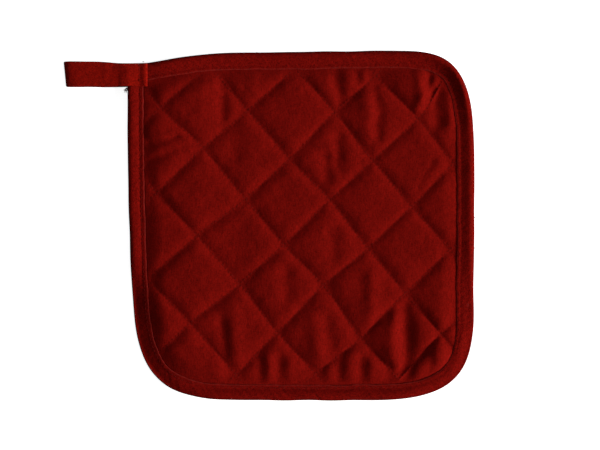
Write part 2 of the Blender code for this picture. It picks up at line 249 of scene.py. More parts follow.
# Loose ends of thread: where each leaves the cloth, its first heading, its turn in degrees and its length.
LOOSE_ENDS = table(
    "x y height heading turn length",
    (-99.6, 80.6, 2.9, 205, 70, 3.4),
    (-99.8, 80.2, 3.4, 222, -60, 3.0),
    (-100.0, 79.9, 2.4, 238, -95, 3.2),
    (-99.8, 79.6, 3.0, 196, 110, 2.6),
    (-99.7, 80.9, 2.0, 215, 40, 4.2),
    (-99.9, 80.4, 3.7, 188, 85, 3.0),
    (-99.8, 79.9, 1.7, 228, 25, 3.1),
    (-90.4, 94.6, 6.9, 100, 120, 1.6),
    (-25.5, 99.6, 3.6, 70, 95, 1.8),
    (99.5, -12.0, 3.3, -12, 70, 1.5),
    (99.3, 5.5, 3.5, 20, -80, 1.3),
)

# ---------------------------------------- sizes and colours


class QuiltSizes(bpy.types.PropertyGroup):
    """Sizes of the quilted pad, in millimetres."""

    puff_height: FloatProperty(
        name="Puff height", description="Height of the middle of a diamond", default=6.9, min=5, max=12)
    channel_height: FloatProperty(
        name="Channel height", description="Height of the face along a sewn line", default=5.2, min=2, max=8)
    under_height: FloatProperty(
        name="Underside height", description="Height of the back at a sewn line", default=1.7, min=0, max=3)
    puff_sink: FloatProperty(
        name="Underside fullness", description="How far a diamond of the back hangs down", default=2.7)
    rounding: FloatProperty(
        name="Rounding", description="Width over which a diamond rounds to a line", default=3.5, min=1)
    shoulder: FloatProperty(
        name="Shoulder", description="Width over which the pad rises from the binding", default=10.0, min=2)
    divisions: IntProperty(
        name="Divisions", description="Facets across one diamond, an even number", default=50, min=8, max=60)
    stitch: FloatProperty(
        name="Stitch", description="Length of one quilting stitch", default=2.5, min=1, max=5)
    pucker: FloatProperty(
        name="Pucker", description="How far the stitches draw the cloth", default=0.13, min=0, max=1)


class TapeSizes(bpy.types.PropertyGroup):
    """Sizes of the binding and of the hanging loop, in millimetres."""

    thickness: FloatProperty(
        name="Thickness", description="Thickness of the folded tape", default=1.0, min=0.4)
    facet: FloatProperty(
        name="Facet", description="Length of a facet along the binding", default=0.5, min=0.3)
    stitch: FloatProperty(name="Stitch", description="Length of one stitch of the edge", default=2.7, min=1)
    loop_top: FloatProperty(
        name="Loop, upper edge", description="Place of the loop's upper edge", default=94.9)
    loop_bottom: FloatProperty(
        name="Loop, lower edge", description="Place of the loop's lower edge", default=80.9)
    loop_slant: FloatProperty(name="Loop slant", description="How far the fold runs aslant", default=1.4)


class ClothColours(bpy.types.PropertyGroup):
    """Dyed colours of the cloth, the tapes and the thread."""

    pad: FloatVectorProperty(
        name="Pad cloth", description="Colour of the quilted cloth", subtype="COLOR",
        default=(0.137, 0.0031, 0.0018), min=0, max=1)
    tape: FloatVectorProperty(
        name="Binding tape", description="Colour of the binding", subtype="COLOR",
        default=(0.132, 0.0029, 0.0017), min=0, max=1)
    loop: FloatVectorProperty(
        name="Loop tape", description="Colour of the hanging loop", subtype="COLOR",
        default=(0.165, 0.0036, 0.0016), min=0, max=1)
    thread: FloatVectorProperty(
        name="Thread", description="Colour of the sewing thread", subtype="COLOR",
        default=(0.13, 0.0036, 0.0021), min=0, max=1)


class StudioSettings(bpy.types.PropertyGroup):
    """Camera and lights."""

    lens: FloatProperty(name="Lens", description="Focal length in millimetres", default=100, min=20)
    distance: FloatProperty(
        name="Distance", description="Height of the camera", default=0.963, subtype="DISTANCE", unit="LENGTH")
    key: FloatProperty(name="Key light", description="Strength of the soft light from the right", default=5.6)
    key_height: FloatProperty(
        name="Key height", description="Elevation of the soft light",
        subtype="ANGLE", default=math.radians(20))
    key_side: FloatProperty(
        name="Key side", description="Where the soft light stands, from the right towards the back",
        subtype="ANGLE", default=math.radians(-9))
    fill: FloatProperty(name="Fill light", description="Strength of the even light from above", default=0.67)


def sizes_of(name):
    """The group of sizes or colours with this name, in the open scene."""
    return getattr(bpy.context.scene, name)


# ---------------------------------------- small maths

def heading(degrees):
    """Unit vector at an angle from +X."""
    return np.array((math.cos(math.radians(degrees)), math.sin(math.radians(degrees))))


def smooth(share):
    """Ease from 0 to 1."""
    share = np.clip(share, 0.0, 1.0)
    return share * share * (3.0 - 2.0 * share)


def turned_left(direction):
    """A direction in the plane, turned by a quarter."""
    return np.stack((-direction[..., 1], direction[..., 0]), axis=-1)


def unit(direction):
    return direction / np.linalg.norm(direction, axis=-1, keepdims=True)


def uneven(x, y, seed, wavelength, waves=14):
    """Gentle unevenness about 0, mostly between -1 and 1, and the same each run."""
    random = np.random.default_rng(seed)
    total = np.zeros(np.broadcast(x, y).shape)
    for _ in range(waves):
        across, along = heading(random.uniform(0, 360)) / (wavelength * random.uniform(0.7, 1.5))
        total = total + np.sin(2 * np.pi * (x * across + y * along + random.uniform(0, 1)))
    return total / math.sqrt(waves)


def curve_through(points, spacing):
    """Points of a smooth curve through the given ones, about the given spacing apart."""
    points = np.array(points, dtype=float)
    ends = 2 * points[[0, -1]] - points[[1, -2]]
    padded = np.vstack((ends[:1], points, ends[1:]))
    curve = []
    for before, here, there, after in zip(padded, padded[1:], padded[2:], padded[3:]):
        count = max(1, round(np.linalg.norm(there - here) / spacing))
        share = (np.arange(count) / count)[:, None]
        leave = (there - before) / 2
        arrive = (after - here) / 2
        curve.append((2 * share ** 3 - 3 * share ** 2 + 1) * here
                     + (share ** 3 - 2 * share ** 2 + share) * leave
                     + (3 * share ** 2 - 2 * share ** 3) * there
                     + (share ** 3 - share ** 2) * arrive)
    return np.vstack(curve + [points[-1:]])


def lengths_along(points):
    """Distance from the first point to each point of a line."""
    return np.concatenate(([0.0], np.cumsum(np.linalg.norm(np.diff(points, axis=0), axis=1))))


def distance_to_route(x, y, route):
    """Distance from places to a line of straight runs."""
    nearest = np.full(x.shape, np.inf)
    for start, end in zip(route, route[1:]):
        along_x, along_y = end[0] - start[0], end[1] - start[1]
        share = ((x - start[0]) * along_x + (y - start[1]) * along_y) / (along_x ** 2 + along_y ** 2)
        share = np.clip(share, 0.0, 1.0)
        gap_x = x - start[0] - share * along_x
        gap_y = y - start[1] - share * along_y
        nearest = np.minimum(nearest, np.hypot(gap_x, gap_y))
    return nearest


# ---------------------------------------- outline

class Outline:
    """The outer edge as closely spaced stations, counter-clockwise from the corner under the loop."""

    def __init__(self, spacing):
        stations = []
        for here, there in zip(EDGE, EDGE[1:] + EDGE[:1]):
            start = Vector((here.x, here.y, 0.0))
            end = Vector((there.x, there.y, 0.0))
            leaving = start + here.reach_after * Vector((*heading(here.leaves), 0.0))
            arriving = end - there.reach_before * Vector((*heading(there.arrives), 0.0))
            count = max(1, round((end - start).length / spacing))
            stretch = geometry.interpolate_bezier(start, leaving, arriving, end, count + 1)
            stations.extend(point.to_2d() for point in stretch[:-1])
        self.points = np.array(stations)
        self.ahead = np.roll(self.points, -1, axis=0) - self.points
        self.lengths = np.linalg.norm(self.ahead, axis=1)
        self.along = np.concatenate(([0.0], np.cumsum(self.lengths)))[:-1]
        self.total = self.lengths.sum()
        after = turned_left(unit(self.ahead))
        before = np.roll(after, 1, axis=0)
        self.steps = (before + after) / (1.0 + (before * after).sum(axis=1))[:, None]

    def inset(self, places):
        """How far inside the outer edge each place lies."""
        flat = places.reshape(-1, 2)
        found = []
        for chunk in np.array_split(flat, max(1, len(flat) // 4000)):
            away = chunk[:, None, :] - self.points[None, :, :]
            share = np.clip((away * self.ahead).sum(axis=2) / self.lengths ** 2, 0.0, 1.0)
            gap = away - share[:, :, None] * self.ahead
            distance = np.hypot(gap[:, :, 0], gap[:, :, 1])
            side = self.ahead[:, 0] * away[:, :, 1] - self.ahead[:, 1] * away[:, :, 0]
            row = np.arange(len(chunk))
            nearest = distance.argmin(axis=1)
            found.append(np.where(side[row, nearest] >= 0, 1.0, -1.0) * distance[row, nearest])
        return np.concatenate(found).reshape(places.shape[:-1])


COARSE_EDGE = Outline(spacing=2.5)


def placed(x, y, height):
    """Places in millimetres from the middle of the pad, as points of the frame in metres."""
    table_middle = (COARSE_EDGE.points.min(axis=0) + COARSE_EDGE.points.max(axis=0)) / 2
    frame_middle = (BINDING_BOX[0] + BINDING_BOX[1]) / 2
    frame_x = (x - table_middle[0]) * MM + frame_middle.x
    frame_y = (y - table_middle[1]) * MM + frame_middle.y
    return np.stack((frame_x, frame_y, height * MM), axis=-1)


# ---------------------------------------- corner

CORNER_MIDDLE = (-94.0, 88.0)
CORNER_LIFT = 1.35
LIFT_INNER = 20.0
LIFT_OUTER = 62.0
PRESSED_SHARE = 0.24
PRESSED_REACH = 10.5
LOOP_STITCH_X = -92.8


def settled(x, y, height):
    """Height of the pad or the binding as it lies: the corner stands on the loop, pressed by its stitches."""
    tape = sizes_of("tape_sizes")
    away = np.hypot(x - CORNER_MIDDLE[0], y - CORNER_MIDDLE[1])
    lift = CORNER_LIFT * (1.0 - smooth((away - LIFT_INNER) / (LIFT_OUTER - LIFT_INNER)))
    from_stitches = np.hypot(x - LOOP_STITCH_X, y - np.clip(y, tape.loop_bottom, tape.loop_top))
    return lift + height * (1.0 - PRESSED_SHARE * np.exp(-(from_stitches / PRESSED_REACH) ** 2))


# ---------------------------------------- quilting

# The grid of sewn lines: one crossing, and the steps to the next ones along both families.
QUILT_CROSSING = np.array((-10.7, -9.2))
RISING_PITCH = 35.1
RISING_HEADING = 42.5
FALLING_PITCH = 34.6
FALLING_HEADING = -49.1
CELLS_ACROSS = 5
RISING = RISING_PITCH * heading(RISING_HEADING)
FALLING = FALLING_PITCH * heading(FALLING_HEADING)
SQUARENESS = math.sin(math.radians(RISING_HEADING - FALLING_HEADING))

# The pad's rim. It runs into the binding as a tongue: insets first, then heights.
RIM_INSET = 4.2
PAD_JOIN = 9.9
TONGUE_START = 1.9
TONGUE_REACH = 1.7
HEM_TOP = 4.0
HEM_DROP = 0.3
JOIN_BOTTOM = 1.15
TONGUE_TOP = 2.5

# How deep the lines of each family sink, how far they hold the cloth and how wide the back rounds to them.
FALLING_DEPTH = 1.0
RISING_DEPTH = 0.82
HELD_REACH = 1.6
BACK_ROUNDING = 3.4

# Where the pad is thinner: to the right and at the upper left. All of its left side is raised a little.
THINNING = 1.5
THIN_START = 0.0
THIN_REACH = 90.0
LEFT_THINNING = 1.1
LEFT_THIN_X = -55.0
LEFT_THIN_WIDTH = 35.0
LEFT_THIN_Y = -40.0
LEFT_THIN_REACH = 25.0
LEFT_RISE = 0.5
LEFT_RISE_X = -46.0
LEFT_RISE_WIDTH = 18.0


def drift_table():
    """How far each crossing strayed, as a grid: 0 for those that the sewing met."""
    strays = np.zeros((2 * CELLS_ACROSS + 3, 2 * CELLS_ACROSS + 3, 2))
    for stray in DRIFTS:
        strays[stray.rising + CELLS_ACROSS, stray.falling + CELLS_ACROSS] = (stray.dx, stray.dy)
    return strays


DRIFT_TABLE = drift_table()


def drift(rising, falling):
    """How far the sewing strayed, eased from crossing to crossing."""
    column = np.clip(np.floor(rising), -CELLS_ACROSS, CELLS_ACROSS + 1)
    row = np.clip(np.floor(falling), -CELLS_ACROSS, CELLS_ACROSS + 1)
    across = smooth(rising - column)[..., None]
    down = smooth(falling - row)[..., None]
    column = column.astype(int) + CELLS_ACROSS
    row = row.astype(int) + CELLS_ACROSS
    upper = (1 - across) * DRIFT_TABLE[column, row] + across * DRIFT_TABLE[column + 1, row]
    lower = (1 - across) * DRIFT_TABLE[column, row + 1] + across * DRIFT_TABLE[column + 1, row + 1]
    return (1 - down) * upper + down * lower


def place_in_quilt(rising, falling):
    """Places, in millimetres, of points that are counted in cells along both families of lines."""
    straight = QUILT_CROSSING + rising[..., None] * RISING + falling[..., None] * FALLING
    return straight + drift(rising, falling)


def distances_to_lines(rising, falling):
    """Distances from places, in cells, to the nearest sewn line of each family."""
    return (np.abs(rising - np.round(rising)) * RISING_PITCH * SQUARENESS,
            np.abs(falling - np.round(falling)) * FALLING_PITCH * SQUARENESS)


def puckers(along, line, away, stitch):
    """Waves of the cloth beside a sewn line: a small one at each stitch, and longer ones further out."""
    small = -0.5 * np.cos(2 * np.pi * along / stitch) * np.exp(-away / 1.5)
    loose = uneven(along, 37.0 * line, 5, 8.0) * np.exp(-away / 5.0) * (1 - np.exp(-away / 1.2))
    return small + 1.2 * loose


def fullness_beside(distance, rounding):
    """Rise of the filling beside a sewn line: 0 on the line and 1 far away."""
    return 1 - np.exp(-(distance / rounding) ** 1.4)


def pad_heights(rising, falling, place, inset):
    """Heights of the face and of the back, as the pad lies."""
    quilt = sizes_of("quilt_sizes")
    x, y = place[..., 0], place[..., 1]
    to_falling_line, to_rising_line = distances_to_lines(rising, falling)
    puff = 1 - FALLING_DEPTH * (1 - fullness_beside(to_falling_line, quilt.rounding))
    puff = puff * (1 - RISING_DEPTH * (1 - fullness_beside(to_rising_line, quilt.rounding)))
    held = (1 - np.exp(-to_falling_line / HELD_REACH)) * (1 - np.exp(-to_rising_line / HELD_REACH))
    thin = smooth((x - THIN_START) / THIN_REACH)
    crown = quilt.puff_height * (1 + 0.02 * uneven(x, y, 11, 45.0)) - THINNING * thin
    left = smooth((LEFT_THIN_X - x) / LEFT_THIN_WIDTH) * smooth((y - LEFT_THIN_Y) / LEFT_THIN_REACH)
    crown = crown - LEFT_THINNING * left + LEFT_RISE * smooth((LEFT_RISE_X - x) / LEFT_RISE_WIDTH)
    hem_top = HEM_TOP - HEM_DROP * thin
    rise = np.sin(np.clip((inset - PAD_JOIN) / quilt.shoulder, 0.0, 1.0) * np.pi / 2)
    top = hem_top + rise * (crown - hem_top - (quilt.puff_height - quilt.channel_height) * (1 - puff))
    for crease in CREASES:
        shape = np.exp(-(distance_to_route(x, y, crease.route) / crease.width) ** 2 / 2)
        top = top + crease.rise * shape * held * np.sqrt(rise)
    wave = puckers(falling * FALLING_PITCH, np.round(rising), to_falling_line, quilt.stitch)
    wave = wave + puckers(rising * RISING_PITCH, np.round(falling) + 0.5, to_rising_line, quilt.stitch)
    wave = wave + held * (1.1 * uneven(x, y, 12, 17.0) + 0.35 * uneven(x, y, 13, 5.5))
    top = top + quilt.pucker * wave * np.sqrt(rise)
    tongue = TONGUE_TOP + (hem_top - TONGUE_TOP) * smooth((inset - PAD_JOIN + TONGUE_START) / TONGUE_REACH)
    top = np.where(inset < PAD_JOIN, tongue, top)
    puff_below = 1 - np.exp(-to_falling_line / BACK_ROUNDING)
    puff_below = puff_below * (1 - np.exp(-to_rising_line / BACK_ROUNDING))
    bottom = JOIN_BOTTOM + rise * (quilt.under_height - JOIN_BOTTOM - quilt.puff_sink * puff_below)
    bottom = np.maximum(0.0, bottom + 0.4 * quilt.pucker * wave * rise)
    bottom = np.where(inset < PAD_JOIN, JOIN_BOTTOM, bottom)
    return settled(x, y, top), settled(x, y, bottom)


# ---------------------------------------- meshes

def cloth_piece(name, corners, facets, material, coordinates=None):
    """A piece from its corners and facets, turned to face out. It may carry cloth coordinates."""
    data = bpy.data.meshes.new(name)
    data.from_pydata(corners.tolist(), [], facets)
    mesh = bmesh.new()
    mesh.from_mesh(data)
    bmesh.ops.recalc_face_normals(mesh, faces=mesh.faces[:])
    mesh.to_mesh(data)
    mesh.free()
    data.shade_smooth()
    if coordinates is not None:
        attribute = data.attributes.new("cloth_place", "FLOAT_VECTOR", "POINT")
        attribute.data.foreach_set("vector", coordinates.astype(np.float32).ravel())
    data.materials.append(material)
    piece = bpy.data.objects.new(name, data)
    bpy.context.scene.collection.objects.link(piece)
    return piece


def grid_facets(rows, columns, closed_rows=False, closed_columns=False):
    """Four-cornered facets of a grid of corners that is numbered row by row."""
    row = np.arange(rows if closed_rows else rows - 1)
    column = np.arange(columns if closed_columns else columns - 1)
    row, column = np.meshgrid(row, column, indexing="ij")
    next_row = (row + 1) % rows
    next_column = (column + 1) % columns
    facets = np.stack((row * columns + column, next_row * columns + column,
                       next_row * columns + next_column, row * columns + next_column), axis=-1)
    return facets.reshape(-1, 4).tolist()


def cloth_places(along, across, height):
    """Cloth coordinates of a tape's corners: along it, across it and their height."""
    return np.stack(np.broadcast_arrays(along[:, None], across[None, :], height), axis=-1).reshape(-1, 3)


def tube_rings(points, radii, sides):
    """Rings of corners round a line of points."""
    forward = unit(np.gradient(points, axis=0))
    sideways = np.cross(forward, (0.0, 0.0, 1.0))
    sideways = unit(sideways + 1e-9)
    upward = np.cross(sideways, forward)
    angle = np.arange(sides) / sides * 2 * np.pi
    level = np.cos(angle)[None, :, None] * sideways[:, None, :]
    upright = np.sin(angle)[None, :, None] * upward[:, None, :]
    return points[:, None, :] + radii[:, None, None] * (level + upright)


THREAD_SIDES = 6
THREAD_RADIUS = 0.15
TAPE_THREAD_RADIUS = 0.16
STITCH_TAPER = (0.55, 0.95, 1.0, 0.95, 0.55)
END_TAPER = (1, 1, 1, 1, 0.95, 0.9, 0.75, 0.4)
STITCH_ARCH = 0.25
HALF_STITCH = np.linspace(-1, 1, len(STITCH_TAPER))


def arched(height, side=1):
    """Height of a stitch along its thread, whose ends go into the cloth: side 1 is the face, -1 the back."""
    return height - side * STITCH_ARCH * HALF_STITCH ** 4


def threads_piece(name, lines, radius, taper, material):
    """Many short threads as one piece: each is a closed tube along its own line of points."""
    radii = radius * MM * np.array(taper)
    sides = THREAD_SIDES
    corners = []
    facets = []
    first = 0
    for points in lines:
        rings = tube_rings(points, radii, sides)
        count = len(points)
        corners.append(rings.reshape(-1, 3))
        facets.extend([[first + corner for corner in facet]
                       for facet in grid_facets(count, sides, closed_columns=True)])
        facets.append([first + corner for corner in range(sides)][::-1])
        facets.append([first + (count - 1) * sides + corner for corner in range(sides)])
        first += count * sides
    return cloth_piece(name, np.vstack(corners), facets, material)


# ---------------------------------------- materials

class Term:
    """A number that a material works out at each point. Arithmetic on it adds Math nodes."""

    def __init__(self, finish, socket):
        self.finish = finish
        self.socket = socket

    def maths(self, operation, *others):
        return self.finish.maths(operation, self, *others)

    def __add__(self, other):
        return self.finish.maths("ADD", self, other)

    def __sub__(self, other):
        return self.finish.maths("SUBTRACT", self, other)

    def __mul__(self, other):
        return self.finish.maths("MULTIPLY", self, other)

    __radd__ = __add__

    def __rsub__(self, other):
        return self.finish.maths("SUBTRACT", other, self)

    __rmul__ = __mul__


class Finish:
    """A material in the making."""

    def __init__(self, name, roughness, specular, sheen, sheen_tint):
        self.material = bpy.data.materials.new(name)
        self.material.use_nodes = True
        self.nodes = self.material.node_tree.nodes
        self.links = self.material.node_tree.links
        self.shader = self.nodes["Principled BSDF"]
        self.shader.inputs["Roughness"].default_value = roughness
        self.shader.inputs["Specular IOR Level"].default_value = specular
        self.shader.inputs["Sheen Weight"].default_value = sheen
        self.shader.inputs["Sheen Roughness"].default_value = 0.45
        self.shader.inputs["Sheen Tint"].default_value = (*sheen_tint, 1.0)

    def add(self, kind, settings=None, inputs=None, output=0):
        """A node of one kind, with its settings and then its sockets' values or links."""
        node = self.nodes.new(kind)
        for setting, value in (settings or {}).items():
            setattr(node, setting, value)
        for socket, value in (inputs or {}).items():
            self.feed(node.inputs[socket], value)
        return Term(self, node.outputs[output])

    def feed(self, socket, value):
        if isinstance(value, Term):
            self.links.new(value.socket, socket)
        else:
            socket.default_value = value

    def maths(self, operation, *values):
        return self.add("ShaderNodeMath", {"operation": operation}, dict(enumerate(values)))

    def mixed(self, share, first, second):
        """A colour between two, by a share from 0 to 1."""
        colours = {"Factor": share, 6: first, 7: second}
        return self.add("ShaderNodeMix", {"data_type": "RGBA"}, colours, output=2)

    def noise(self, place, scale, detail=2.0, roughness=0.5):
        return self.add("ShaderNodeTexNoise", {"noise_dimensions": "3D"},
                        {"Vector": place, "Scale": scale, "Detail": detail, "Roughness": roughness})

    def together(self, x, y, z=0.0):
        return self.add("ShaderNodeCombineXYZ", None, {"X": x, "Y": y, "Z": z})

    def split(self, vector):
        return [self.add("ShaderNodeSeparateXYZ", None, {"Vector": vector}, output=axis) for axis in range(3)]

    def object_millimetres(self):
        place = self.add("ShaderNodeTexCoord", output=3)
        return [axis * (1 / MM) for axis in self.split(place)]

    def cloth_millimetres(self):
        place = self.add("ShaderNodeAttribute", {"attribute_name": "cloth_place"}, output=1)
        return self.split(place)


def woven(a, b, pitch):
    """Height, 0 to 1, of a plain weave with threads along both directions."""
    across = (a * (math.pi / pitch)).maths("SINE")
    along = (b * (math.pi / pitch)).maths("SINE")
    on_top = (across * along * 5.0 + 0.5).maths("MINIMUM", 1.0).maths("MAXIMUM", 0.0)
    across_round = across.maths("ABSOLUTE")
    along_round = along.maths("ABSOLUTE")
    first = across_round * (0.45 + 0.55 * along_round)
    second = along_round * (0.45 + 0.55 * across_round)
    return first * on_top + second * (1.0 - on_top)


def streaks(finish, a, b, width, length, seed):
    """Uneven yarn, about 0.5: thick and thin stretches along the threads of one direction."""
    return finish.noise(finish.together(a * (1 / width), b * (1 / length), seed), 1.0)


# How strongly the yarn's unevenness shows along both directions of a weave, and how strongly the nap does.
Grain = namedtuple("Grain", "upright level nap")
PAD_GRAIN = Grain(upright=1.1, level=0.45, nap=1.1)
TAPE_GRAIN = Grain(upright=0.75, level=0.75, nap=1.95)
CLOTH_RELIEF = Grain(upright=0.1, level=0.08, nap=0.1)
WEAVE_RELIEF = 0.045
# Painted shade: how much darker the colour is between the woven threads.
WEAVE_PAINTED_SHADE = 0.12
PATCH_TONE = 0.16
BASE_TONE = 0.97
# Paler colour of the binding's lip: partly wear, partly a painted sheen where the raised lip catches the
# light.
WORN_AND_SHEEN_COLOUR = (0.2, 0.022, 0.018, 1.0)
LOOSE_THREAD_COLOUR = (0.07, 0.003, 0.002)
PLY_PITCH = 0.4


def cloth_finish(name, colour, coordinates, grain, pitch, slub, bias=False, worn_and_sheen=None):
    """Matt dyed cotton: a plain weave of uneven yarn, with painted shade between its threads, and paler where
    worn and painted with a sheen.
    """
    finish = Finish(name, roughness=0.92, specular=0.006, sheen=0.03, sheen_tint=(0.7, 0.06, 0.04))
    if coordinates == "object":
        a, b = finish.object_millimetres()[:2]
    else:
        a, b = finish.cloth_millimetres()[:2]
    if bias:
        a, b = (a + b) * math.sqrt(0.5), (a - b) * math.sqrt(0.5)
    weave = woven(a, b, pitch)
    upright = streaks(finish, a, b, slub, slub * 5, 1.3)
    level = streaks(finish, b, a, slub, slub * 4, 7.7)
    nap = finish.noise(finish.together(a, b, 3.1), 1.5, detail=1.0, roughness=0.7)
    patches = finish.noise(finish.together(a, b, 9.4), 0.055, detail=2.0)
    # The weave's height darkens the colour between the threads as painted shade; the yarn streaks, nap and
    # patches are the cloth's own uneven tone.
    tone = WEAVE_PAINTED_SHADE * weave + grain.upright * upright + grain.level * level + grain.nap * nap
    tone = tone + PATCH_TONE * patches
    tone = tone + (BASE_TONE - 0.5 * (grain.upright + grain.level + grain.nap))
    shade = finish.add("ShaderNodeVectorMath", {"operation": "SCALE"}, {0: colour, "Scale": tone})
    # A paler colour along the lip: partly wear, partly painted sheen.
    if worn_and_sheen is not None:
        shade = finish.mixed(worn_and_sheen(finish), shade, WORN_AND_SHEEN_COLOUR)
    finish.feed(finish.shader.inputs["Base Color"], shade)
    relief = WEAVE_RELIEF * weave + CLOTH_RELIEF.upright * upright
    relief = relief + CLOTH_RELIEF.level * level + CLOTH_RELIEF.nap * nap
    bump = finish.add("ShaderNodeBump", None, {"Strength": 0.85, "Distance": MM, "Height": relief})
    finish.feed(finish.shader.inputs["Normal"], bump)
    return finish.material


def thread_finish(name, colour):
    """Sewing thread: smooth, a little brighter than the cloth, with the turns of its ply in relief and as
    painted shade.
    """
    finish = Finish(name, roughness=0.8, specular=0.05, sheen=0.08, sheen_tint=(0.8, 0.25, 0.2))
    x, y, height = finish.object_millimetres()
    ply = ((x + y) * (2 * math.pi / PLY_PITCH)).maths("SINE")
    # The ply's turns darken the colour in their grooves: painted shade, beside a random uneven tone.
    tone = 0.95 + 0.1 * ply + 0.3 * (finish.noise(finish.together(x, y, height), 0.8) - 0.5)
    shade = finish.add("ShaderNodeVectorMath", {"operation": "SCALE"}, {0: colour, "Scale": tone})
    finish.feed(finish.shader.inputs["Base Color"], shade)
    bump = finish.add("ShaderNodeBump", None, {"Strength": 0.5, "Distance": 0.03 * MM, "Height": ply})
    finish.feed(finish.shader.inputs["Normal"], bump)
    return finish.material


# ---------------------------------------- pieces

def belongs(piece, slot, *nodes):
    """The piece rides with the frame, and stands for its plain solid if it has one, which is hidden. The slot
    is not used.
    """
    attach(piece, "root")
    if nodes:
        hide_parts(*nodes)
    return piece


class POTHOLDER_OT_quilted_pad(bpy.types.Operator):
    """Make the quilted pad: its face and back follow the sewn diamonds, and its rim is inside the binding"""

    bl_idname = "potholder.quilted_pad"
    bl_label = "Quilted pad"

    def execute(self, context):
        quilt = context.scene.quilt_sizes
        colours = context.scene.cloth_colours
        count = CELLS_ACROSS * quilt.divisions
        steps = np.arange(-count, count + 1) / quilt.divisions
        rising, falling = np.meshgrid(steps, steps, indexing="ij")
        place = place_in_quilt(rising, falling)
        near = (np.abs(place) < np.abs(COARSE_EDGE.points).max() + 1.0).all(axis=-1)
        inset = np.full(rising.shape, -1.0)
        inset[near] = COARSE_EDGE.inset(place[near])
        inside = inset > RIM_INSET
        corner = inside[::2, ::2]
        block = corner[:-1, :-1] & corner[1:, :-1] & corner[:-1, 1:] & corner[1:, 1:]
        corners, facets = self.shell(block, rising, falling, place, inset)
        material = cloth_finish("pad cloth", (*colours.pad,), "object", PAD_GRAIN, pitch=0.46, slub=0.55)
        pad = cloth_piece("quilted_pad_cover", corners, facets, material)
        belongs(pad, "pad_cloth", "quilted_pad")
        return {"FINISHED"}

    @staticmethod
    def shell(block, rising, falling, place, inset):
        """Corners and facets of the closed pad. The back has half as many facets each way as the face."""
        fine = np.repeat(np.repeat(block, 2, axis=0), 2, axis=1)
        used = np.zeros(rising.shape, bool)
        for right in (0, 1):
            for below in (0, 1):
                used[right:right + fine.shape[0], below:below + fine.shape[1]] |= fine
        coarse = np.zeros(rising.shape, bool)
        coarse[::2, ::2] = used[::2, ::2]
        top, bottom = pad_heights(rising[used], falling[used], place[used], inset[used])
        face = np.full(rising.shape, -1)
        face[used] = np.arange(used.sum())
        back = np.full(rising.shape, -1)
        back[coarse] = used.sum() + np.arange(coarse.sum())
        height_below = np.zeros(rising.shape)
        height_below[used] = bottom
        corners = np.vstack((placed(place[used][:, 0], place[used][:, 1], top),
                             placed(place[coarse][:, 0], place[coarse][:, 1], height_below[coarse])))
        right, below = np.nonzero(fine)
        facets = np.stack((face[right, below], face[right, below + 1],
                           face[right + 1, below + 1], face[right + 1, below]), axis=-1).tolist()
        right, below = np.nonzero(block)
        right, below = 2 * right, 2 * below
        facets += np.stack((back[right, below], back[right + 2, below],
                            back[right + 2, below + 2], back[right, below + 2]), axis=-1).tolist()
        bordered = np.pad(block, 1)
        # The four sides of a block: the way to the next block, where the side starts, and the way it runs.
        sides = (((-1, 0), (0, 0), (0, 1)), ((1, 0), (2, 0), (0, 1)),
                 ((0, -1), (0, 0), (1, 0)), ((0, 1), (0, 2), (1, 0)))
        for (step_right, step_below), (from_right, from_below), (run_right, run_below) in sides:
            rim = block & ~bordered[1 + step_right:1 + step_right + block.shape[0],
                                    1 + step_below:1 + step_below + block.shape[1]]
            for column, row in np.argwhere(rim):
                start = (2 * column + from_right, 2 * row + from_below)
                middle = (start[0] + run_right, start[1] + run_below)
                end = (middle[0] + run_right, middle[1] + run_below)
                side = (face[start], face[middle], face[end], back[end], back[start])
                facets.append([int(number) for number in side])
        return corners, facets


# The folded tape. Numbers that say "across" are counted round the tape from the outer edge.
UPPER_HEIGHT = 2.5
HEM_SHIFT_START = 5.5
HEM_SHIFT_REACH = 3.5
ROLL_WIDTH = 2.6
ROLL_ACROSS = 4.0
VALLEY_ACROSS = 9.0
VALLEY_WIDTH = 1.7
STITCHES_ACROSS = 9.6
STITCHES_WIDTH = 0.9
LIP_ACROSS = 11.0
PRESSED_FLOOR = 1.2
PRESSED_LAST_ACROSS = 10.6
PRESSED_EASE = 1.4
ROUND_FACETS = 6


